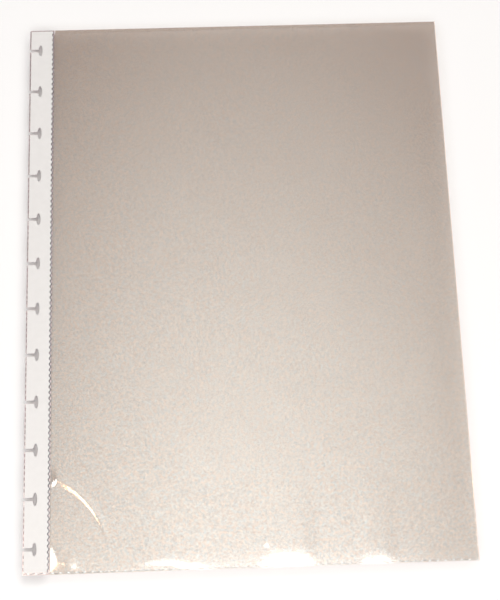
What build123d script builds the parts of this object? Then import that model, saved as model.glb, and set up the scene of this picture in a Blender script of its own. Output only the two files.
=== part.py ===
"""Top-loading sheet protector for disc binding: a folded clear film pocket with a punched white binding strip."""
import os

from build123d import *

# Page, in millimetres: X runs across from the binding, Y up to the mouth, Z up from the back face
page_width = 232.0
page_height = 305.0
corner_radius = 1.0

# Clear film, folded once along the right edge
film = 0.1
pocket_gap = 0.6
mouth_step = 2.5
rise_length = 6.0
spine_land = 0.8
foot_land = 1.3

# White binding strip
strip_width = 12.0
strip_thickness = 0.25
strip_border = 0.7

# Mushroom slots that clip over the binding discs
slot_pitch = 25.4
slot_end_room = 9.0
slot_head_width = 2.3
slot_head_height = 6.9
slot_head_setback = 6.0
slot_stem_width = 1.7
slot_neck_radius = 0.6
slot_head_end_margin = 0.05

# Wavy weld on the film beside the strip, whose inner edge is scalloped to match
spine_weld_pitch = 3.05
spine_weld_swing = 0.4
spine_weld_width = 0.5
spine_weld_height = 0.3
spine_weld_gap = 0.05
spine_weld_margin = 0.1

# Short stitches welded along the outer edge
stitch_pitch = 3.05
stitch_length = 1.8
stitch_width = 0.4
stitch_height = 0.25
stitch_clearance = 0.2

# Wavy weld along the foot
foot_weld_pitch = 4.07
foot_weld_swing = 0.25
foot_weld_width = 0.5
foot_weld_height = 0.12

# Flexing lines: the pocket turns at the strip, the flap lifts at the mouth
hinge_clearance = 0.15
flap_depth = 120.0
flap_mouth_width = 140.0
flap_root_width = 90.0
flap_clearance = 0.15

# Edges and levels worked out from the sizes above
left = -page_width / 2
right = page_width / 2
top = page_height / 2
bottom = -page_height / 2
strip_left = left + strip_border
strip_right = strip_left + strip_width
spine_weld_x = strip_right + spine_weld_gap + spine_weld_width / 2
margin_right = spine_weld_x + spine_weld_width / 2 + spine_weld_swing + spine_weld_margin
strip_top = top - strip_border
strip_bottom = bottom + foot_land
slot_head_x = left + slot_head_setback
slot_head_end = slot_head_x + slot_head_width / 2 - slot_head_end_margin
slot_count = 1 + int((page_height - 2 * slot_end_room) // slot_pitch)
pocket_left = margin_right + 2 * hinge_clearance
fold_radius = film + pocket_gap / 2
fold_x = right - fold_radius
front_top = top - mouth_step
front_level = film + pocket_gap
rise_x = pocket_left + spine_land
rise_y = bottom + foot_land
front_left = rise_x + rise_length
front_bottom = rise_y + rise_length
flap_x = (front_left + fold_x) / 2
flap_root_y = front_top - flap_depth
slot_places = [(slot_head_x, (row - (slot_count - 1) / 2) * slot_pitch) for row in range(slot_count)]


def wave(length, pitch, swing, side):
    """Line along X of equal half waves, each an arc, at a height of side."""
    half_waves = 2 * round(length / pitch)
    step = length / half_waves
    arcs = []
    for number in range(half_waves):
        start_x = number * step - length / 2
        crest = side + swing * (-1) ** number
        arcs.append(ThreePointArc((start_x, side), (start_x + step / 2, crest), (start_x + step, side)))
    return arcs


def wavy_ribbon(length, pitch, swing, width):
    """Ribbon along X bounded by two copies of one wave set a width apart."""
    ends = [Line((end_x, -width / 2), (end_x, width / 2)) for end_x in (-length / 2, length / 2)]
    with BuildSketch() as ribbon:
        make_face(ends + wave(length, pitch, swing, -width / 2) + wave(length, pitch, swing, width / 2))
    return ribbon.sketch


def scalloped_band(length, pitch, swing, depth):
    """Band along X with a wave for its lower edge and a straight upper edge."""
    ends = [Line((end_x, 0), (end_x, depth)) for end_x in (-length / 2, length / 2)]
    back = Line((-length / 2, depth), (length / 2, depth))
    with BuildSketch() as band:
        make_face(ends + [back] + wave(length, pitch, swing, 0))
    return band.sketch


def slots():
    """The mushroom slots in plan, open to the outer edge."""
    stem_length = slot_head_setback + strip_border
    with BuildSketch() as slot:
        with Locations(*slot_places):
            Ellipse(slot_head_width / 2, slot_head_height / 2)
            Rectangle(stem_length, slot_stem_width, align=(Align.MAX, Align.CENTER))
    return slot.sketch


def neck_edges(part):
    """Upright edges where each slot's stem meets its head."""
    return (
        part.edges()
        .filter_by(Axis.Z)
        .filter_by_position(Axis.X, slot_head_x - slot_head_width, slot_head_x - slot_head_width / 4)
    )


def flap_outline(clearance):
    """Trapezium of the lifting flap, grown by a clearance at its root and sides."""
    half_mouth = flap_mouth_width / 2 + clearance
    half_root = flap_root_width / 2 + clearance
    root_y = flap_root_y - clearance
    corners = [
        (flap_x - half_root, root_y),
        (flap_x + half_root, root_y),
        (flap_x + half_mouth, front_top),
        (flap_x - half_mouth, front_top),
    ]
    with BuildSketch() as outline:
        with BuildLine():
            Polyline(*corners, close=True)
        make_face()
    return outline.sketch


slot_cut = slots()
strip_length = strip_top - strip_bottom
strip_band = scalloped_band(strip_length, spine_weld_pitch, spine_weld_swing, strip_width)
spine_ribbon = wavy_ribbon(strip_length, spine_weld_pitch, spine_weld_swing, spine_weld_width)
strip_foot_ribbon = wavy_ribbon(margin_right - strip_left, foot_weld_pitch, foot_weld_swing, foot_weld_width)
foot_ribbon = wavy_ribbon(fold_x - pocket_left, foot_weld_pitch, foot_weld_swing, foot_weld_width)

# Film under the strip, from the inner ends of the slot heads to the pocket
with BuildPart() as margin_film:
    with BuildSketch():
        with Locations((slot_head_end, 0)):
            Rectangle(margin_right - slot_head_end, page_height, align=(Align.MIN, Align.CENTER))
        add(slot_cut, mode=Mode.SUBTRACT)
    extrude(amount=film)

# Film lands between the inner halves of the slot heads
with BuildPart() as margin_lands:
    with BuildSketch():
        with Locations((slot_head_x, 0)):
            Rectangle(slot_head_end - slot_head_x, page_height, align=(Align.MIN, Align.CENTER))
        add(slot_cut, mode=Mode.SUBTRACT)
    extrude(amount=film)

# Film tabs between the slots, one either side of every stem
with BuildPart() as margin_tabs:
    with BuildSketch():
        with Locations((left, 0)):
            Rectangle(slot_head_setback, page_height, align=(Align.MIN, Align.CENTER))
        add(slot_cut, mode=Mode.SUBTRACT)
    extrude(amount=film)
    fillet(neck_edges(margin_tabs), slot_neck_radius)
    fillet(margin_tabs.edges().filter_by(Axis.Z).group_by(Axis.X)[0].sort_by(Axis.Y)[-1], corner_radius)

# White strip, punched through with the film
strip_middle_y = (strip_top + strip_bottom) / 2
strip_edge = Plane(origin=(strip_right, strip_middle_y, film), x_dir=(0, 1, 0), z_dir=(0, 0, 1))
with BuildPart() as binding_strip:
    with BuildSketch(strip_edge):
        add(strip_band)
    extrude(amount=strip_thickness)
    with BuildSketch(Plane.XY.offset(film)):
        add(slot_cut)
    extrude(amount=strip_thickness, mode=Mode.SUBTRACT)
    fillet(neck_edges(binding_strip), slot_neck_radius)

# Stitches on the film's border, left out where a stem opens
stitch_x = left + strip_border / 2
stitch_count = int(strip_length // stitch_pitch)
stitch_rows = [(row - (stitch_count - 1) / 2) * stitch_pitch for row in range(stitch_count)]
stem_room = slot_stem_width / 2 + stitch_length / 2 + stitch_clearance
stitch_places = [(stitch_x, y) for y in stitch_rows if all(abs(y - slot[1]) > stem_room for slot in slot_places)]
with BuildPart() as outer_edge_weld:
    with BuildSketch(Plane.XY.offset(film)):
        with Locations(*stitch_places):
            SlotOverall(stitch_length, stitch_width, rotation=90)
    extrude(amount=stitch_height)

# Wavy weld bead along the strip's inner edge
spine_weld_base = Plane(origin=(spine_weld_x, strip_middle_y, film), x_dir=(0, 1, 0), z_dir=(0, 0, 1))
with BuildPart() as binding_weld:
    with BuildSketch(spine_weld_base):
        add(spine_ribbon)
    extrude(amount=spine_weld_height)

# Wavy weld bead across the strip's foot
with BuildPart() as strip_foot_weld:
    with BuildSketch(Plane.XY.offset(film)):
        with Locations(((strip_left + margin_right) / 2, bottom + foot_land / 2)):
            add(strip_foot_ribbon)
    extrude(amount=strip_thickness)

# Back leaf of the pocket
with BuildPart() as back_panel:
    with BuildSketch():
        with Locations((pocket_left, 0)):
            Rectangle(fold_x - pocket_left, page_height, align=(Align.MIN, Align.CENTER))
    extrude(amount=film)

# Fold along the right edge, half a tube of film
with BuildPart() as side_fold:
    with BuildSketch(Plane.XZ.offset(-top)):
        with Locations((fold_x, fold_radius)):
            Circle(fold_radius)
            Circle(fold_radius - film, mode=Mode.SUBTRACT)
            Rectangle(2 * fold_radius, 2 * fold_radius, align=(Align.MAX, Align.CENTER), mode=Mode.SUBTRACT)
    extrude(amount=page_height)


def rise_profile(start, land):
    """Side view of the front leaf where it leaves a weld: a flat land, then a slope up to the front panel."""
    slope_foot = start + land
    slope_head = slope_foot + rise_length
    with BuildSketch() as profile:
        with BuildLine():
            Polyline(
                (start, film),
                (slope_foot, film),
                (slope_head, front_level),
                (slope_head, front_level + film),
                (slope_foot, 2 * film),
                (start, 2 * film),
                close=True,
            )
        make_face()
    return profile.sketch


spine_profile = rise_profile(pocket_left, spine_land)
foot_profile = rise_profile(bottom, foot_land)
mitre = Plane(origin=(rise_x, rise_y, 0), z_dir=(1, -1, 0))

# Front leaf rising from the binding weld
with BuildPart() as spine_rise:
    with BuildSketch(Plane.XZ.offset(-front_top)):
        add(spine_profile)
    extrude(amount=front_top - bottom)
    split(bisect_by=mitre, keep=Keep.BOTTOM)

# Front leaf rising from the foot weld
with BuildPart() as foot_rise:
    with BuildSketch(Plane.YZ.offset(pocket_left)):
        add(foot_profile)
    extrude(amount=fold_x - pocket_left)
    split(bisect_by=mitre, keep=Keep.TOP)

# Front leaf, open at the top and cut round the flap
flap_opening = flap_outline(flap_clearance)
with BuildPart() as front_panel:
    with BuildSketch(Plane.XY.offset(front_level)):
        with Locations((front_left, front_bottom)):
            Rectangle(fold_x - front_left, front_top - front_bottom, align=(Align.MIN, Align.MIN))
        add(flap_opening, mode=Mode.SUBTRACT)
    extrude(amount=film)

# Part of the front leaf that lifts to let a sheet in
flap_face = flap_outline(0)
with BuildPart() as mouth_flap:
    with BuildSketch(Plane.XY.offset(front_level)):
        add(flap_face)
    extrude(amount=film)

# Wavy weld bead along the pocket's foot
with BuildPart() as bottom_weld:
    with BuildSketch(Plane.XY.offset(2 * film)):
        with Locations(((pocket_left + fold_x) / 2, bottom + foot_land / 2)):
            add(foot_ribbon)
    extrude(amount=foot_weld_height)

pieces = {
    "margin_film": margin_film,
    "margin_lands": margin_lands,
    "margin_tabs": margin_tabs,
    "binding_strip": binding_strip,
    "outer_edge_weld": outer_edge_weld,
    "binding_weld": binding_weld,
    "strip_foot_weld": strip_foot_weld,
    "back_panel": back_panel,
    "side_fold": side_fold,
    "spine_rise": spine_rise,
    "foot_rise": foot_rise,
    "front_panel": front_panel,
    "bottom_weld": bottom_weld,
    "mouth_flap": mouth_flap,
}
os.makedirs("parts", exist_ok=True)
for name, piece in pieces.items():
    piece.part.label = name
    export_step(piece.part, f"parts/{name}.step")
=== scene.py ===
"""Clear sheet protector for disc binding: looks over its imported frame, laid out as an add-on."""
from math import atan2, cos, exp, hypot, pi, sin

import bpy
from bpy.props import FloatProperty, FloatVectorProperty, PointerProperty
from mathutils import Matrix, Vector


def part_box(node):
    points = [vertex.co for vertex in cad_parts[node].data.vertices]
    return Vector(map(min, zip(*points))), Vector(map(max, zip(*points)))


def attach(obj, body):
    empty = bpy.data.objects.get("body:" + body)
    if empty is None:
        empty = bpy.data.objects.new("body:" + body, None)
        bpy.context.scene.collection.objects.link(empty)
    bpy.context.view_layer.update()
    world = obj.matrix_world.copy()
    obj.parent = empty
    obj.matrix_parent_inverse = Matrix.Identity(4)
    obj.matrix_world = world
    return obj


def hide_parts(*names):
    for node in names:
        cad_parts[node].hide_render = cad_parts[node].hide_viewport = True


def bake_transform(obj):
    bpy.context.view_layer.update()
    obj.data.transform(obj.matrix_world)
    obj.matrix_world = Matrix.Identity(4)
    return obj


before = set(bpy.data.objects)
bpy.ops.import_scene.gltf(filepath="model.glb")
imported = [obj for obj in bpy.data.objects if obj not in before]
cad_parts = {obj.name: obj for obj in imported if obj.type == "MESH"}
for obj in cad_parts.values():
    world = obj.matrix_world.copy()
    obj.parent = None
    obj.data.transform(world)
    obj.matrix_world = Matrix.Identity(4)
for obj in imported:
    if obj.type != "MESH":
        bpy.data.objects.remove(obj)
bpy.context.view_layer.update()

bl_info = {
    "name": "Sheet protector",
    "version": (1, 0, 0),
    "blender": (4, 5, 0),
    "location": "3D View > Sidebar > Protector",
    "description": "Dresses a clear sheet protector and its white binding strip over their frame",
    "category": "Object",
}

# Edges and levels of the page, read from the frame in metres
back_low, back_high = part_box("back_panel")
flap_low, flap_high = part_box("mouth_flap")
film_thickness = back_high.z - back_low.z
leaf_left = back_low.x
leaf_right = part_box("side_fold")[0].x
leaf_foot = back_low.y
leaf_mouth = flap_high.y
leaf_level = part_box("front_panel")[0].z

# Slow waves in the front leaf: how fast their sine and their cosine turn across and up the page, in radians
# per metre, and the length over which they fade towards the fold
RIPPLE_SINE = (52.0, 17.0)
RIPPLE_COSINE = (-9.0, 31.0)
RIPPLE_FADE = 0.02
# Buckles where the front leaf springs up from the foot weld: middle across the page, half width, rise,
# run up the page, how far over the foot they start, and where across the page they start at the foot
FOOT_BUCKLES = (
    (-0.0405, 0.0176, 0.00014, 0.0026, 0.0027, -0.0290),
    (0.0186, 0.0126, 0.00050, 0.0108, 0.0, 0.0),
    (0.0644, 0.0084, 0.00017, 0.0048, 0.0, 0.0),
)
# Width over which a buckle's start slants down to the foot, and length over which a buckle fades up the page
BUCKLE_SLANT = 0.014
BUCKLE_FADE = 0.030
# Small bumps in the front leaf: middle across and up the page, size and rise
BUMPS = (
    (-0.0925, -0.1475, 0.0037, 0.00023),
    (0.0078, -0.1403, 0.0016, 0.00008),
)
# Arched crease by the binding weld: middle of its circle, radius, turns at its lower and upper end, rise,
# width, turns over which it fades at those ends, and the shares of its rise and width that it has there
ARC_MIDDLE = (-0.12145, -0.14807)
ARC_RADIUS = 0.0498
ARC_TURNS = (0.02, 1.22)
ARC_RISE = 0.00020
ARC_WIDTH = 0.0018
ARC_FADES = (0.60, 0.20)
ARC_GROWTH = (0.25, 1.6)
# Puckers along the binding weld: rise, run across the page, fade beyond it, and middle and reach up the page
PUCKERS = (
    (0.00025, 0.0050, 0.0200, 0.0073, 0.0066),
    (0.00016, 0.0027, 0.0021, 0.0482, 0.0044),
)
# Lengths over which the foot weld holds bumps and puckers down, and the binding weld bumps and the arc
FOOT_HOLD = 0.002
BUMP_HOLD = 0.001
ARC_HOLD = 0.004
# Fine grid of the front leaf: its width beside the binding weld, its height over the foot by the arc and
# elsewhere, and how many lines the middle of the leaf has to a coarse step
FINE_WIDTH = 0.032
ARC_FINE_HEIGHT = 0.058
FOOT_FINE_HEIGHT = 0.024
MIDDLE_LINES = 3
# Grid of the turning crease: parts across, and fine and coarse step up the page
CREASE_PARTS = 6
CREASE_FINE = 0.002
CREASE_COARSE = 0.005
# Points of a weld: along each wave of a bead, over its round, and round a stitch, and the rings up a stitch
WAVE_POINTS = 12
BEAD_POINTS = 8
STITCH_POINTS = 10
STITCH_RINGS = 4
# Decimals of a metre to which two points of a solid have to agree to be the same
SAME_POINT = 7

# Range in which most of a noise lies
NOISE_LOW = 0.3
NOISE_HIGH = 0.7
# Shares of the film's tint in the rosy and the cool spots of its mottle
ROSY = (1.016, 0.997, 0.982)
COOL = (0.984, 1.003, 1.018)
# Film at a glance: power that keeps the change to slanting views, and share of the tint and gloss there
GLANCE_POWER = 4.0
GLANCE_TINT = 0.6
GLANCE_GLOSS = 0.6
# Share of the welds' gloss in their dull spots, and of the floor's colour in its dark ones
DULL_MELT = 0.8
DARK_FLOOR = 0.99

# Light of the walls round the stage at four heights, each the sine of its angle over the floor
WALL_LIGHT = (
    (0.30, 0.15),
    (0.43, 1.42),
    (0.58, 1.42),
    (0.72, 0.05),
)
# Soft glow overhead: the direction of its middle, its reach across and up the page, the share of its reach
# over which it fades, its brightness and its colour
GLOW_CENTRE = (0.009, 0.05)
GLOW_REACH = (0.34, 0.52)
GLOW_FADE = 0.82
GLOW_PEAK = 1.65
GLOW_COLOUR = (0.965, 1.0, 0.945, 1.0)
# Grey of the backdrop beyond the floor
BACKDROP = 0.8
# Half the side of the square floor
FLOOR_HALF = 8.0
# Colours of the lamps
WHITE = (1.0, 1.0, 1.0)
WARM = (1.0, 0.74, 0.42)
PALE = (1.0, 0.86, 0.60)
AMBER = (1.0, 0.56, 0.18)
# Lamps: the point of the page that each is turned to, its direction and distance from there, its size,
# its brightness and its colour
LAMPS = {
    "foot_lamp": ((0.030, -0.15, 0.0), (0.030, -0.128, 0.99), 1.40, (0.42, 0.39), 2.6, WHITE),
    "near_lamp": ((-0.03, -0.15, 0.0), (0.0, -0.65, 0.76), 0.50, (0.60, 0.25), 1.0, WHITE),
    "side_lamp": ((-0.0975, -0.144, 0.0), (-0.285, 0.079, 0.95), 1.30, (0.143, 0.160), 4.6, WHITE),
    "warm_lamp": ((-0.087, -0.119, 0.0), (-0.27, -0.005, 0.96), 1.30, (0.088, 0.088), 3.7, PALE),
    "warm_halo": ((-0.087, -0.119, 0.0), (-0.27, -0.005, 0.96), 1.30, (0.150, 0.150), 2.0, AMBER),
    "fold_lamp": ((0.1153, -0.1113, 0.0), (0.66, 0.13, 0.74), 1.20, (0.60, 0.030), 8.0, WARM),
}
# Watts that each square metre of a lamp takes for a brightness of 1
LAMP_POWER = 4
# Distant light: its direction, its strength and the angle that it fills
KEY_DIRECTION = (0.30, 0.78, 0.55)
KEY_STRENGTH = 1.2
KEY_ANGLE = 0.7
# Camera: its place, its line of sight, its upward side and the width of its sensor in millimetres
CAMERA_PLACE = (-0.01270, -0.19876, 0.65000)
CAMERA_VIEW = (0.02457, 0.27719, -0.96050)
CAMERA_UP = (0.02894, 0.96019, 0.27784)
SENSOR_WIDTH = 36.0


class FilmLook(bpy.types.PropertyGroup):
    """Clear film of the pocket and the margin."""

    back_tint: FloatVectorProperty(
        name="Back leaf", description="Share of each colour that passes one face of the back leaf",
        subtype="COLOR", size=4, min=0.0, max=1.0, default=(0.665, 0.604, 0.565, 1.0),
    )
    front_tint: FloatVectorProperty(
        name="Front leaf", description="Share of each colour that passes one face of the front leaf",
        subtype="COLOR", size=4, min=0.0, max=1.0, default=(0.990, 0.988, 0.986, 1.0),
    )
    border_tint: FloatVectorProperty(
        name="Border", description="Share of each colour that passes one face of the film round the strip",
        subtype="COLOR", size=4, min=0.0, max=1.0, default=(0.540, 0.460, 0.470, 1.0),
    )
    fold_tint: FloatVectorProperty(
        name="Fold", description="Share of each colour that passes one face of the folded edge",
        subtype="COLOR", size=4, min=0.0, max=1.0, default=(0.815, 0.780, 0.755, 1.0),
    )
    lamp_tint: FloatVectorProperty(
        name="Lamp light", description="Share of lamp light that passes one face of the thin film",
        subtype="COLOR", size=4, min=0.0, max=1.0, default=(0.995, 0.993, 0.992, 1.0),
    )
    back_gloss: FloatProperty(
        name="Back gloss", description="Share of light that one face of the back leaf reflects, face on",
        subtype="FACTOR", min=0.0, max=1.0, default=0.09,
    )
    front_gloss: FloatProperty(
        name="Front gloss", description="Share of light that one face of the front leaf reflects, face on",
        subtype="FACTOR", min=0.0, max=1.0, default=0.06,
    )
    fold_gloss: FloatProperty(
        name="Fold gloss", description="Share of light that one face of the folded edge reflects, face on",
        subtype="FACTOR", min=0.0, max=1.0, default=0.20,
    )
    border_gloss: FloatProperty(
        name="Border gloss", description="Share of light that one face of the border reflects, face on",
        subtype="FACTOR", min=0.0, max=1.0, default=0.36,
    )
    back_roughness: FloatProperty(
        name="Back roughness", description="Roughness of the back leaf",
        subtype="FACTOR", min=0.0, max=1.0, default=0.18,
    )
    front_roughness: FloatProperty(
        name="Front roughness", description="Roughness of the front leaf",
        subtype="FACTOR", min=0.0, max=1.0, default=0.10,
    )
    grain: FloatProperty(
        name="Grain", description="Size of the film's grain", unit="LENGTH", min=0.0001, default=0.0010,
    )


class LeafShape(bpy.types.PropertyGroup):
    """Shape of the front leaf between its welds."""

    spine_rise: FloatProperty(
        name="Rise at the binding", description="Distance over which the leaf lifts off the binding weld",
        unit="LENGTH", min=0.001, default=0.080,
    )
    foot_rise: FloatProperty(
        name="Rise at the foot", description="Distance over which the leaf lifts off the foot weld",
        unit="LENGTH", min=0.001, default=0.070,
    )
    ripple: FloatProperty(
        name="Ripple", description="Height of the slow waves in the leaf",
        unit="LENGTH", min=0.0, default=0.00006,
    )
    fine_step: FloatProperty(
        name="Fine step", description="Grid step beside the welds",
        unit="LENGTH", min=0.0002, default=0.0003,
    )
    coarse_step: FloatProperty(
        name="Coarse step", description="Grid step over the open page",
        unit="LENGTH", min=0.001, default=0.0024,
    )


class StripLook(bpy.types.PropertyGroup):
    """White binding strip."""

    light: FloatVectorProperty(
        name="White", description="Lighter white of the strip",
        subtype="COLOR", size=4, min=0.0, max=1.0, default=(0.880, 0.842, 0.828, 1.0),
    )
    dark: FloatVectorProperty(
        name="Off-white", description="Darker white of the strip",
        subtype="COLOR", size=4, min=0.0, max=1.0, default=(0.852, 0.814, 0.800, 1.0),
    )


class WeldLook(bpy.types.PropertyGroup):
    """Welded beads and stitches."""

    spine_light: FloatVectorProperty(
        name="Light binding", description="Lighter colour of the binding weld",
        subtype="COLOR", size=4, min=0.0, max=1.0, default=(0.50, 0.51, 0.55, 1.0),
    )
    spine_dark: FloatVectorProperty(
        name="Dark binding", description="Darker colour of the binding weld",
        subtype="COLOR", size=4, min=0.0, max=1.0, default=(0.36, 0.37, 0.41, 1.0),
    )
    foot_light: FloatVectorProperty(
        name="Light foot", description="Lighter colour of the foot weld",
        subtype="COLOR", size=4, min=0.0, max=1.0, default=(0.76, 0.74, 0.73, 1.0),
    )
    foot_dark: FloatVectorProperty(
        name="Dark foot", description="Darker colour of the foot weld",
        subtype="COLOR", size=4, min=0.0, max=1.0, default=(0.66, 0.64, 0.63, 1.0),
    )
    # Painted highlight: white dots that stand in for the glints along the foot weld
    painted_glint: FloatVectorProperty(
        name="Painted glints", description="Colour of the glints painted as dots on the foot weld",
        subtype="COLOR", size=4, min=0.0, max=1.0, default=(0.96, 0.96, 0.96, 1.0),
    )
    stitch_light: FloatVectorProperty(
        name="Light stitch", description="Lighter colour of the stitches",
        subtype="COLOR", size=4, min=0.0, max=1.0, default=(0.62, 0.50, 0.51, 1.0),
    )
    stitch_dark: FloatVectorProperty(
        name="Dark stitch", description="Darker colour of the stitches",
        subtype="COLOR", size=4, min=0.0, max=1.0, default=(0.52, 0.42, 0.43, 1.0),
    )
    gloss: FloatProperty(
        name="Gloss", description="Share of light that the melted film reflects",
        subtype="FACTOR", min=0.0, max=1.0, default=0.22,
    )
    spine_pitch: FloatProperty(
        name="Binding wave", description="Length of a wave in the binding weld",
        unit="LENGTH", min=0.001, default=0.00305,
    )
    spine_width: FloatProperty(
        name="Binding bead", description="Width of the binding weld's bead",
        unit="LENGTH", min=0.0001, default=0.0005,
    )
    foot_pitch: FloatProperty(
        name="Foot wave", description="Length of a wave in the foot weld",
        unit="LENGTH", min=0.001, default=0.00407,
    )
    foot_width: FloatProperty(
        name="Foot bead", description="Width of the foot weld's bead",
        unit="LENGTH", min=0.0001, default=0.0005,
    )


class StageLook(bpy.types.PropertyGroup):
    """Floor, light and camera."""

    floor_colour: FloatVectorProperty(
        name="Floor", description="Colour of the floor",
        subtype="COLOR", size=4, min=0.0, max=1.0, default=(0.98, 0.96, 0.96, 1.0),
    )
    floor_lift: FloatProperty(
        name="Floor lift", description="Light added to the floor where it is seen",
        min=0.0, max=1.0, default=0.045,
    )
    floor_gap: FloatProperty(
        name="Floor gap", description="Height at which the springy page lies over the floor",
        unit="LENGTH", min=0.0, default=0.0033,
    )
    lens: FloatProperty(name="Lens", description="Focal length in millimetres", min=1.0, default=75.47)


def smooth_step(value):
    """Rises smoothly from 0 to 1 as value goes from 0 to 1."""
    share = min(max(value, 0.0), 1.0)
    return share * share * (3 - 2 * share)


def ease(value):
    """Rises from 0 to 1 as value goes from 0 to 1, steepest at the start."""
    share = min(max(value, 0.0), 1.0)
    return share * (2 - share)


def grey(level):
    """Grey of one level."""
    return (level, level, level, 1.0)


def shaded(colour, shares):
    """Colour with its red, green and blue scaled by their shares."""
    return (colour[0] * shares[0], colour[1] * shares[1], colour[2] * shares[2], 1.0)


def new_material(name):
    """A node material with its output alone, and its node tree."""
    material = bpy.data.materials.new(name)
    material.use_nodes = True
    tree = material.node_tree
    tree.nodes.clear()
    return material, tree, tree.nodes.new("ShaderNodeOutputMaterial")


def noise(tree, scale, detail):
    """Noise over the object's own coordinates, in lumps per metre."""
    place = tree.nodes.new("ShaderNodeTexCoord")
    texture = tree.nodes.new("ShaderNodeTexNoise")
    texture.inputs["Scale"].default_value = scale
    texture.inputs["Detail"].default_value = detail
    tree.links.new(place.outputs["Object"], texture.inputs["Vector"])
    return texture.outputs["Fac"]


def ramp(tree, factor, dark, light, low=NOISE_LOW, high=NOISE_HIGH):
    """Colour that goes from dark to light as the factor goes from low to high."""
    node = tree.nodes.new("ShaderNodeValToRGB")
    node.color_ramp.elements[0].position = low
    node.color_ramp.elements[0].color = dark
    node.color_ramp.elements[1].position = high
    node.color_ramp.elements[1].color = light
    tree.links.new(factor, node.inputs["Fac"])
    return node.outputs["Color"]


def spread(tree, factor, low, high):
    """Maps a noise onto a range."""
    node = tree.nodes.new("ShaderNodeMapRange")
    node.inputs["From Min"].default_value = NOISE_LOW
    node.inputs["From Max"].default_value = NOISE_HIGH
    node.inputs["To Min"].default_value = low
    node.inputs["To Max"].default_value = high
    tree.links.new(factor, node.inputs["Value"])
    return node.outputs["Result"]


def bump(tree, height, strength, distance):
    """Normal bent by a height."""
    node = tree.nodes.new("ShaderNodeBump")
    node.inputs["Strength"].default_value = strength
    node.inputs["Distance"].default_value = distance
    tree.links.new(height, node.inputs["Height"])
    return node.outputs["Normal"]


def maths(tree, operation, *terms):
    """Result of an operation on terms that are numbers or outputs of nodes."""
    node = tree.nodes.new("ShaderNodeMath")
    node.operation = operation
    for socket, term in zip(node.inputs, terms):
        if isinstance(term, bpy.types.NodeSocket):
            tree.links.new(term, socket)
        else:
            socket.default_value = term
    return node.outputs["Value"]


def add_shaders(tree, first, second):
    """Both shaders at once."""
    node = tree.nodes.new("ShaderNodeAddShader")
    tree.links.new(first, node.inputs[0])
    tree.links.new(second, node.inputs[1])
    return node.outputs["Shader"]


def mix_shaders(tree, factor, first, second):
    """The first shader where the factor is 0, and the second where it is 1."""
    node = tree.nodes.new("ShaderNodeMixShader")
    tree.links.new(factor, node.inputs["Fac"])
    tree.links.new(first, node.inputs[1])
    tree.links.new(second, node.inputs[2])
    return node.outputs["Shader"]


def clear_gloss(tree, tint, shine, roughness, normal):
    """Clear plastic, which tints what is seen through it, with a glossy face."""
    clear = tree.nodes.new("ShaderNodeBsdfTransparent")
    tree.links.new(tint, clear.inputs["Color"])
    face = tree.nodes.new("ShaderNodeBsdfGlossy")
    tree.links.new(shine, face.inputs["Color"])
    tree.links.new(roughness, face.inputs["Roughness"])
    tree.links.new(normal, face.inputs["Normal"])
    return add_shaders(tree, clear.outputs["BSDF"], face.outputs["BSDF"])


def glancing(tree, grain):
    """Near 0 where the film is seen face on, with a little grain, and 1 where it is seen at a glance."""
    weight = tree.nodes.new("ShaderNodeLayerWeight")
    weight.inputs["Blend"].default_value = 0.5
    steep = maths(tree, "POWER", weight.outputs["Facing"], GLANCE_POWER)
    return maths(tree, "ADD", spread(tree, grain, low=0.01, high=0.13), steep)


def film_material(name, tint, gloss, roughness, look):
    """Clear film: it tints what is seen through it, gleams at a glance and hardly dims lamp light."""
    if name in bpy.data.materials:
        return bpy.data.materials[name]
    material, tree, output = new_material(name)
    grain = noise(tree, scale=1.0 / look.grain, detail=3.0)
    spots = noise(tree, scale=0.9 / look.grain, detail=2.0)
    clouds = noise(tree, scale=45.0, detail=2.0)
    glance = glancing(tree, grain)
    mottle = ramp(tree, spots, shaded(tint, ROSY), shaded(tint, COOL), low=0.35, high=0.65)
    dimmer = tree.nodes.new("ShaderNodeMix")
    dimmer.data_type = "RGBA"
    dimmer.inputs["B"].default_value = shaded(tint, grey(GLANCE_TINT))
    tree.links.new(glance, dimmer.inputs["Factor"])
    tree.links.new(mottle, dimmer.inputs["A"])
    seen = clear_gloss(
        tree,
        tint=dimmer.outputs["Result"],
        shine=ramp(tree, glance, grey(gloss), grey(GLANCE_GLOSS), low=0.0, high=1.0),
        roughness=spread(tree, clouds, low=roughness * 0.9, high=roughness * 1.1),
        normal=bump(tree, grain, strength=0.10, distance=0.00002),
    )
    lit = tree.nodes.new("ShaderNodeBsdfTransparent")
    lit.inputs["Color"].default_value = look.lamp_tint
    light_path = tree.nodes.new("ShaderNodeLightPath")
    both = mix_shaders(tree, light_path.outputs["Is Shadow Ray"], seen, lit.outputs["BSDF"])
    tree.links.new(both, output.inputs["Surface"])
    return material


def back_film(look):
    """Film of the back leaf."""
    return film_material("back_film", look.back_tint, look.back_gloss, look.back_roughness, look)


def front_film(look):
    """Film of the front leaf."""
    return film_material("front_film", look.front_tint, look.front_gloss, look.front_roughness, look)


def fold_film(look):
    """Film of the folded edge, which is looked through twice and stretched to a shine."""
    return film_material("fold_film", look.fold_tint, look.fold_gloss, look.front_roughness, look)


def border_film(look):
    """Film round the strip, darker and glossier where it is welded."""
    return film_material("border_film", look.border_tint, look.border_gloss, look.back_roughness, look)


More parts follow.
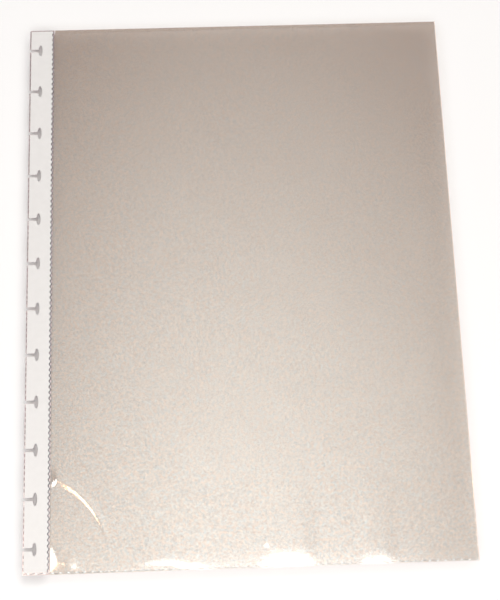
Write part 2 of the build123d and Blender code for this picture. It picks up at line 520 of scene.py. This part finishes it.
def strip_material(look):
    """Opaque white plastic, semi-gloss, with a faint mottle."""
    material, tree, output = new_material("strip_plastic")
    face = tree.nodes.new("ShaderNodeBsdfPrincipled")
    face.inputs["Specular IOR Level"].default_value = 0.8
    face.inputs["Coat Weight"].default_value = 1.0
    face.inputs["Coat Roughness"].default_value = 0.25
    mottle = noise(tree, scale=260.0, detail=4.0)
    grain = noise(tree, scale=1800.0, detail=2.0)
    tree.links.new(ramp(tree, mottle, look.dark, look.light), face.inputs["Base Color"])
    tree.links.new(spread(tree, mottle, low=0.38, high=0.46), face.inputs["Roughness"])
    tree.links.new(bump(tree, grain, strength=0.2, distance=0.00002), face.inputs["Normal"])
    tree.links.new(face.outputs["BSDF"], output.inputs["Surface"])
    return material


def dots(tree, pitch):
    """Spots across the page, one to each pitch and a third of it long, where glints are painted."""
    place = tree.nodes.new("ShaderNodeTexCoord")
    parts = tree.nodes.new("ShaderNodeSeparateXYZ")
    tree.links.new(place.outputs["Object"], parts.inputs["Vector"])
    wave = maths(tree, "SINE", maths(tree, "MULTIPLY", parts.outputs["X"], 2 * pi / pitch))
    return ramp(tree, wave, grey(0.0), grey(1.0), low=0.35, high=0.65)


def weld_material(name, dark, light, look, dot_pitch=0.0):
    """Melted film: half clear, glossy and a little uneven, with glints painted on as white dots if a pitch
    is given for them.
    """
    material, tree, output = new_material(name)
    melt = noise(tree, scale=700.0, detail=3.0)
    melted = clear_gloss(
        tree,
        tint=ramp(tree, melt, dark, light),
        shine=ramp(tree, melt, grey(look.gloss * DULL_MELT), grey(look.gloss)),
        roughness=spread(tree, melt, low=0.14, high=0.22),
        normal=bump(tree, melt, strength=0.3, distance=0.00004),
    )
    # Painted highlight: white diffuse dots along the weld stand in for its glints
    if dot_pitch:
        painted_glint = tree.nodes.new("ShaderNodeBsdfDiffuse")
        painted_glint.inputs["Color"].default_value = look.painted_glint
        melted = mix_shaders(tree, dots(tree, dot_pitch), melted, painted_glint.outputs["BSDF"])
    tree.links.new(melted, output.inputs["Surface"])
    return material


def floor_material(look):
    """Plain floor with a faint unevenness, lifted a little where it is seen so that it shows as white."""
    material, tree, output = new_material("pale_floor")
    face = tree.nodes.new("ShaderNodeBsdfDiffuse")
    darker = shaded(look.floor_colour, grey(DARK_FLOOR))
    uneven = ramp(tree, noise(tree, scale=3.0, detail=2.0), darker, look.floor_colour)
    tree.links.new(uneven, face.inputs["Color"])
    light_path = tree.nodes.new("ShaderNodeLightPath")
    seen = light_path.outputs["Is Camera Ray"]
    for way in ("Is Glossy Ray", "Is Transmission Ray"):
        seen = maths(tree, "ADD", seen, light_path.outputs[way])
    glow = tree.nodes.new("ShaderNodeEmission")
    tree.links.new(maths(tree, "MULTIPLY", seen, look.floor_lift), glow.inputs["Strength"])
    both = add_shaders(tree, face.outputs["BSDF"], glow.outputs["Emission"])
    tree.links.new(both, output.inputs["Surface"])
    return material


def new_piece(name, vertices, faces, material):
    """A smooth mesh object in the scene, in the row frame."""
    mesh = bpy.data.meshes.new(name)
    mesh.from_pydata(vertices, [], faces)
    mesh.update()
    mesh.polygons.foreach_set("use_smooth", [True] * len(mesh.polygons))
    mesh.materials.append(material)
    piece = bpy.data.objects.new(name, mesh)
    bpy.context.scene.collection.objects.link(piece)
    return piece


def steps(start, end, fine_length, fine, coarse):
    """Grid lines, fine for a length at the start and where little is left at the end, and coarse between."""
    lines = [start]
    while lines[-1] < end - fine / 2:
        place = lines[-1]
        near_end = place < start + fine_length or place > end - coarse / 2
        lines.append(min(place + (fine if near_end else coarse), end))
    lines[-1] = end
    return lines


def sheet_piece(name, lines_x, lines_y, level, thickness, material):
    """An open grid at a level over the page, thickened upwards into a closed film."""
    vertices = [(x, y, level(x, y)) for y in lines_y for x in lines_x]
    across = len(lines_x)
    faces = []
    for row in range(len(lines_y) - 1):
        for column in range(across - 1):
            corner = row * across + column
            faces.append((corner, corner + 1, corner + 1 + across, corner + across))
    piece = new_piece(name, vertices, faces, material)
    uses = {}
    for polygon in piece.data.polygons:
        for edge in polygon.edge_keys:
            uses[edge] = uses.get(edge, 0) + 1
    for edge in piece.data.edges:
        edge.use_edge_sharp = uses[edge.key] == 1
    film = piece.modifiers.new("Film", "SOLIDIFY")
    film.thickness = thickness
    film.offset = 1.0
    return piece


def wavy_line(low, high, along, pitch, width, lead):
    """Points of a wave that fills a box along axis 0 or 1 and swings first to the side that lead gives."""
    across = 1 - along
    length = high[along] - low[along]
    waves = round(length / pitch)
    swing = lead * (high[across] - low[across] - width) / 2
    middle = (low[across] + high[across]) / 2
    count = waves * WAVE_POINTS
    line = []
    for number in range(count + 1):
        share = number / count
        point = [0.0, 0.0, low.z]
        point[along] = low[along] + length * share
        point[across] = middle + swing * sin(2 * pi * waves * share)
        line.append(point)
    return line


def bead(name, line, width, height, material):
    """A half-round bead of weld along a line of points that lies in a level plane."""
    vertices = []
    for number, point in enumerate(line):
        ahead = line[min(number + 1, len(line) - 1)]
        behind = line[max(number - 1, 0)]
        run = hypot(ahead[0] - behind[0], ahead[1] - behind[1])
        side_x = -(ahead[1] - behind[1]) / run
        side_y = (ahead[0] - behind[0]) / run
        for turn in range(BEAD_POINTS):
            angle = pi * turn / (BEAD_POINTS - 1)
            out = width / 2 * cos(angle)
            up = height * sin(angle)
            vertices.append((point[0] + side_x * out, point[1] + side_y * out, point[2] + up))
    faces = []
    for number in range(len(line) - 1):
        here = number * BEAD_POINTS
        there = here + BEAD_POINTS
        for turn in range(BEAD_POINTS):
            after = (turn + 1) % BEAD_POINTS
            faces.append((here + turn, there + turn, there + after, here + after))
    last = (len(line) - 1) * BEAD_POINTS
    faces.append(tuple(range(BEAD_POINTS)))
    faces.append(tuple(last + turn for turn in reversed(range(BEAD_POINTS))))
    piece = new_piece(name, vertices, faces, material)
    for polygon in piece.data.polygons:
        if len(polygon.vertices) == BEAD_POINTS:
            polygon.use_smooth = False
    return piece


def island_boxes(node):
    """Lowest and highest corner of each separate solid in a node of the frame."""
    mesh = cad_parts[node].data
    near = {vertex.index: [] for vertex in mesh.vertices}
    for edge in mesh.edges:
        near[edge.vertices[0]].append(edge.vertices[1])
        near[edge.vertices[1]].append(edge.vertices[0])
    same = {}
    for vertex in mesh.vertices:
        key = tuple(round(value, SAME_POINT) for value in vertex.co)
        if key in same:
            near[vertex.index].append(same[key])
            near[same[key]].append(vertex.index)
        else:
            same[key] = vertex.index
    boxes = []
    seen = set()
    for vertex in mesh.vertices:
        if vertex.index in seen:
            continue
        waiting = [vertex.index]
        seen.add(vertex.index)
        points = []
        while waiting:
            index = waiting.pop()
            points.append(mesh.vertices[index].co)
            for other in near[index]:
                if other not in seen:
                    seen.add(other)
                    waiting.append(other)
        low = Vector([min(point[axis] for point in points) for axis in range(3)])
        high = Vector([max(point[axis] for point in points) for axis in range(3)])
        boxes.append((low, high))
    return boxes


def front_level(x, y):
    """Underside of the front leaf: on the welds at its edges, lifted over the page and buckled a little."""
    shape = bpy.context.scene.protector_leaf
    from_spine = max(x - leaf_left, 0.0)
    from_foot = max(y - leaf_foot, 0.0)
    lift = ease(from_spine / shape.spine_rise) * ease(from_foot / shape.foot_rise)
    sine = sin(x * RIPPLE_SINE[0] + y * RIPPLE_SINE[1])
    cosine = cos(x * RIPPLE_COSINE[0] + y * RIPPLE_COSINE[1])
    ripple = shape.ripple * (1 + sine * cosine) * smooth_step((leaf_right - x) / RIPPLE_FADE)
    height = film_thickness + (leaf_level - film_thickness + ripple) * lift
    height += sum(buckle_height(x, from_foot, *buckle) for buckle in FOOT_BUCKLES)
    foot_hold = smooth_step(from_foot / FOOT_HOLD)
    for bump_x, bump_y, size, rise in BUMPS:
        away = hypot(x - bump_x, y - bump_y) / size
        height += rise * exp(-away * away) * foot_hold * smooth_step(from_spine / BUMP_HOLD)
    for rise, run, fade, middle, reach in PUCKERS:
        up = (from_foot - middle) / reach
        share = exp(-max(from_spine - run, 0.0) / fade - up * up) * foot_hold
        height += rise * ease(from_spine / run) * share
    return height + arc_height(x, y) * smooth_step(from_spine / ARC_HOLD)


def buckle_height(x, from_foot, middle, half_width, rise, run, start, at_foot):
    """Height of a buckle that springs up from the foot weld and fades up the page."""
    over = start * smooth_step((at_foot - x) / BUCKLE_SLANT)
    up = max(from_foot - over, 0.0)
    aside = (x - middle) / half_width
    return rise * exp(-(aside ** 4) - (up / BUCKLE_FADE) ** 2) * (1 - exp(-up / run))


def arc_height(x, y):
    """Height of the arched crease beside the binding weld, which grows towards its upper end."""
    across = x - ARC_MIDDLE[0]
    along = y - ARC_MIDDLE[1]
    turn = atan2(along, across)
    first, last = ARC_TURNS
    part = min(max((turn - first) / (last - first), 0.0), 1.0)
    growth = ARC_GROWTH[0] + (ARC_GROWTH[1] - ARC_GROWTH[0]) * part
    aside = (hypot(across, along) - ARC_RADIUS) / (ARC_WIDTH * growth)
    ends = smooth_step((turn - first) / ARC_FADES[0]) * smooth_step((last - turn) / ARC_FADES[1])
    return ARC_RISE * growth * exp(-aside * aside) * ends


def dress(nodes, material):
    """Gives nodes of the frame a material."""
    for node in nodes:
        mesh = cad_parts[node].data
        mesh.materials.clear()
        mesh.materials.append(material)


class PROTECTOR_OT_film(bpy.types.Operator):
    """Dress the back leaf, the fold and the margin as clear film"""

    bl_idname = "protector.film"
    bl_label = "Back film"

    def execute(self, context):
        look = context.scene.protector_film
        dress(("back_panel",), back_film(look))
        dress(("side_fold",), fold_film(look))
        dress(("margin_film", "margin_lands", "margin_tabs"), border_film(look))
        return {"FINISHED"}


class PROTECTOR_OT_front_leaf(bpy.types.Operator):
    """Make the front leaf in three pieces, lifted over the page between its welds"""

    bl_idname = "protector.front_leaf"
    bl_label = "Front leaf"

    def execute(self, context):
        shape = context.scene.protector_leaf
        film = front_film(context.scene.protector_film)
        fine = shape.fine_step
        coarse = shape.coarse_step
        spans = {
            "front_leaf_left": (leaf_left, flap_low.x, FINE_WIDTH, ARC_FINE_HEIGHT, coarse),
            "front_leaf_middle": (flap_low.x, flap_high.x, 0.0, FOOT_FINE_HEIGHT, coarse / MIDDLE_LINES),
            "front_leaf_right": (flap_high.x, leaf_right, 0.0, FOOT_FINE_HEIGHT, coarse),
        }
        leaf = {}
        for name, (left, right, fine_width, fine_height, step) in spans.items():
            lines_x = steps(left, right, fine_width, fine, step)
            lines_y = steps(leaf_foot, leaf_mouth, fine_height, fine, coarse)
            leaf[name] = sheet_piece(name, lines_x, lines_y, front_level, film_thickness, film)
        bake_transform(leaf["front_leaf_middle"])
        for name, edge, reach in (
            ("front_leaf_left", flap_low.x, flap_low.x - leaf_left),
            ("front_leaf_right", flap_high.x, flap_high.x - leaf_right),
        ):
            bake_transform(leaf[name])
        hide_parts("front_panel", "spine_rise")
        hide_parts("mouth_flap", "foot_rise")
        return {"FINISHED"}


class PROTECTOR_OT_crease(bpy.types.Operator):
    """Make the thin line of doubled film along which the page turns"""

    bl_idname = "protector.crease"
    bl_label = "Turning crease"

    def execute(self, context):
        film = back_film(context.scene.protector_film)
        margin_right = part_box("margin_film")[1].x
        gap = leaf_left - margin_right
        lines_x = [margin_right + gap * number / CREASE_PARTS for number in range(CREASE_PARTS + 1)]
        lines_y = steps(leaf_foot, leaf_mouth, 0.0, CREASE_FINE, CREASE_COARSE)
        double = 2 * film_thickness
        crease = sheet_piece("turning_crease", lines_x, lines_y, lambda x, y: back_low.z, double, film)
        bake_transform(crease)
        return {"FINISHED"}


class PROTECTOR_OT_strip(bpy.types.Operator):
    """Dress the white binding strip"""

    bl_idname = "protector.strip"
    bl_label = "Binding strip"

    def execute(self, context):
        dress(("binding_strip",), strip_material(context.scene.protector_strip))
        return {"FINISHED"}


class PROTECTOR_OT_welds(bpy.types.Operator):
    """Make the wavy beads along the binding and the foot, and the stitches along the outer edge"""

    bl_idname = "protector.welds"
    bl_label = "Welds"

    def execute(self, context):
        look = context.scene.protector_weld
        spine_weld = weld_material("binding_melt", look.spine_dark, look.spine_light, look)
        # The foot weld gets painted glints: white dots at the pitch of its waves
        foot_weld = weld_material("foot_melt", look.foot_dark, look.foot_light, look, look.foot_pitch)
        low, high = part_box("binding_weld")
        line = wavy_line(low, high, 1, look.spine_pitch, look.spine_width, lead=-1)
        spine = bead("binding_bead", line, look.spine_width, high.z - low.z, spine_weld)
        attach(spine, "binding")
        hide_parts("binding_weld")
        for name, node, body in (
            ("foot_bead", "bottom_weld", "pocket"),
            ("strip_foot_bead", "strip_foot_weld", "binding"),
        ):
            low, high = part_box(node)
            line = wavy_line(low, high, 0, look.foot_pitch, look.foot_width, lead=1)
            piece = bead(name, line, look.foot_width, high.z - low.z, foot_weld)
            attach(piece, body)
            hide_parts(node)
        self.stitches(weld_material("stitch_melt", look.stitch_dark, look.stitch_light, look))
        return {"FINISHED"}

    def stitches(self, weld):
        """Rounded stitches, one on each solid of the node."""
        vertices = []
        faces = []
        for low, high in island_boxes("outer_edge_weld"):
            first = len(vertices)
            middle = (low + high) / 2
            half_x = (high.x - low.x) / 2
            half_y = (high.y - low.y) / 2
            straight = half_y - half_x
            for ring in range(STITCH_RINGS):
                rise = pi / 2 * ring / STITCH_RINGS
                for turn in range(STITCH_POINTS):
                    angle = 2 * pi * turn / STITCH_POINTS
                    end = straight if sin(angle) > 0 else -straight
                    x = middle.x + half_x * cos(rise) * cos(angle)
                    y = middle.y + half_x * cos(rise) * sin(angle) + end
                    vertices.append((x, y, low.z + (high.z - low.z) * sin(rise)))
            for ring in range(STITCH_RINGS - 1):
                here = first + ring * STITCH_POINTS
                over = here + STITCH_POINTS
                for turn in range(STITCH_POINTS):
                    after = (turn + 1) % STITCH_POINTS
                    faces.append((here + turn, here + after, over + after, over + turn))
            top = first + (STITCH_RINGS - 1) * STITCH_POINTS
            faces.append(tuple(first + turn for turn in reversed(range(STITCH_POINTS))))
            faces.append(tuple(top + turn for turn in range(STITCH_POINTS)))
        piece = new_piece("edge_stitches", vertices, faces, weld)
        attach(piece, "binding")
        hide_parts("outer_edge_weld")


class PROTECTOR_OT_stage(bpy.types.Operator):
    """Set the floor, the soft light and the camera"""

    bl_idname = "protector.stage"
    bl_label = "Stage"

    def execute(self, context):
        scene = context.scene
        look = scene.protector_stage
        square = ((-1, -1), (1, -1), (1, 1), (-1, 1))
        corners = [(x * FLOOR_HALF, y * FLOOR_HALF, -look.floor_gap) for x, y in square]
        floor = new_piece("floor", corners, [(0, 1, 2, 3)], floor_material(look))
        self.world(scene)
        for name, lamp in LAMPS.items():
            self.lamp(name, *lamp)
        self.sun("key", KEY_DIRECTION, KEY_STRENGTH, KEY_ANGLE)
        self.camera(scene, look)
        scene.view_settings.view_transform = "Standard"
        return {"FINISHED"}

    def world(self, scene):
        """Pale walls, a dim ceiling and a soft glow overhead, and a plain backdrop for the camera."""
        world = bpy.data.worlds.new("studio")
        scene.world = world
        world.use_nodes = True
        tree = world.node_tree
        tree.nodes.clear()
        output = tree.nodes.new("ShaderNodeOutputWorld")
        direction = tree.nodes.new("ShaderNodeTexCoord").outputs["Generated"]
        room = add_shaders(tree, self.walls(tree, direction), self.glow(tree, direction))
        backdrop = tree.nodes.new("ShaderNodeBackground")
        backdrop.inputs["Color"].default_value = grey(BACKDROP)
        light_path = tree.nodes.new("ShaderNodeLightPath")
        seen = mix_shaders(tree, light_path.outputs["Is Camera Ray"], room, backdrop.outputs["Background"])
        tree.links.new(seen, output.inputs["Surface"])

    def walls(self, tree, direction):
        """Light that changes with the height of a direction over the floor."""
        parts = tree.nodes.new("ShaderNodeSeparateXYZ")
        tree.links.new(direction, parts.inputs["Vector"])
        levels = tree.nodes.new("ShaderNodeValToRGB")
        # A new ramp has two stops already
        for _ in WALL_LIGHT[2:]:
            levels.color_ramp.elements.new(1.0)
        for stop, (height, level) in zip(levels.color_ramp.elements, WALL_LIGHT):
            stop.position = height
            stop.color = grey(level)
        tree.links.new(parts.outputs["Z"], levels.inputs["Fac"])
        light = tree.nodes.new("ShaderNodeBackground")
        tree.links.new(levels.outputs["Color"], light.inputs["Color"])
        return light.outputs["Background"]

    def glow(self, tree, direction):
        """Round patch of light overhead, brightest in its middle."""
        across, along = GLOW_REACH
        shift = tree.nodes.new("ShaderNodeMapping")
        shift.inputs["Location"].default_value = (-GLOW_CENTRE[0] / across, -GLOW_CENTRE[1] / along, 0.0)
        shift.inputs["Scale"].default_value = (1 / across, 1 / along, 0.0)
        tree.links.new(direction, shift.inputs["Vector"])
        fade = tree.nodes.new("ShaderNodeTexGradient")
        fade.gradient_type = "SPHERICAL"
        tree.links.new(shift.outputs["Vector"], fade.inputs["Vector"])
        light = tree.nodes.new("ShaderNodeBackground")
        light.inputs["Strength"].default_value = GLOW_PEAK
        soft = ramp(tree, fade.outputs["Fac"], grey(0.0), GLOW_COLOUR, low=0.0, high=GLOW_FADE)
        tree.links.new(soft, light.inputs["Color"])
        return light.outputs["Background"]

    def lamp(self, name, target, direction, distance, size, brightness, colour):
        """A rectangular lamp in a direction from a point of the page, turned to that point."""
        light = bpy.data.lights.new(name, "AREA")
        light.shape = "RECTANGLE"
        light.size, light.size_y = size
        light.energy = brightness * LAMP_POWER * size[0] * size[1]
        light.color = colour
        place = Vector(target) + Vector(direction).normalized() * distance
        self.aim(bpy.data.objects.new(name, light), place, Vector(target), Vector((0, 1, 0)))

    def sun(self, name, direction, strength, angle):
        """A distant lamp that shines from a direction."""
        lamp = bpy.data.lights.new(name, "SUN")
        lamp.energy = strength
        lamp.angle = angle
        self.aim(bpy.data.objects.new(name, lamp), Vector(direction), Vector(), Vector((0, 1, 0)))

    def camera(self, scene, look):
        """Looks down on the page from beyond its foot."""
        camera = bpy.data.cameras.new("camera")
        camera.lens = look.lens
        camera.sensor_width = SENSOR_WIDTH
        place = Vector(CAMERA_PLACE)
        scene.camera = bpy.data.objects.new("camera", camera)
        self.aim(scene.camera, place, place + Vector(CAMERA_VIEW), Vector(CAMERA_UP))

    def aim(self, thing, place, target, up):
        """Puts a lamp or camera in the scene, turned to a target."""
        forward = (target - place).normalized()
        side = forward.cross(up).normalized()
        turn = Matrix((side, side.cross(forward), -forward)).transposed()
        thing.matrix_world = Matrix.Translation(place) @ turn.to_4x4()
        bpy.context.scene.collection.objects.link(thing)


class PROTECTOR_PT_panel(bpy.types.Panel):
    """Sidebar panel with the pieces and their settings"""

    bl_label = "Sheet protector"
    bl_idname = "PROTECTOR_PT_panel"
    bl_space_type = "VIEW_3D"
    bl_region_type = "UI"
    bl_category = "Protector"

    def draw(self, context):
        for operator in OPERATORS:
            self.layout.operator(operator.bl_idname)
        for name, group in SETTINGS.items():
            box = self.layout.box()
            for setting in group.__annotations__:
                box.prop(getattr(context.scene, name), setting)


OPERATORS = (
    PROTECTOR_OT_film,
    PROTECTOR_OT_front_leaf,
    PROTECTOR_OT_crease,
    PROTECTOR_OT_strip,
    PROTECTOR_OT_welds,
    PROTECTOR_OT_stage,
)
SETTINGS = {
    "protector_film": FilmLook,
    "protector_leaf": LeafShape,
    "protector_strip": StripLook,
    "protector_weld": WeldLook,
    "protector_stage": StageLook,
}


def register():
    """Adds the settings, the operators and the panel."""
    for name, group in SETTINGS.items():
        bpy.utils.register_class(group)
        setattr(bpy.types.Scene, name, PointerProperty(type=group))
    for operator in OPERATORS:
        bpy.utils.register_class(operator)
    bpy.utils.register_class(PROTECTOR_PT_panel)


def unregister():
    """Takes away the panel, the operators and the settings."""
    bpy.utils.unregister_class(PROTECTOR_PT_panel)
    for operator in reversed(OPERATORS):
        bpy.utils.unregister_class(operator)
    for name, group in SETTINGS.items():
        delattr(bpy.types.Scene, name)
        bpy.utils.unregister_class(group)


def main():
    """Makes the pieces and the stage in order."""
    register()
    bpy.ops.protector.film()
    bpy.ops.protector.front_leaf()
    bpy.ops.protector.crease()
    bpy.ops.protector.strip()
    bpy.ops.protector.welds()
    bpy.ops.protector.stage()


if __name__ == "__main__":
    main()
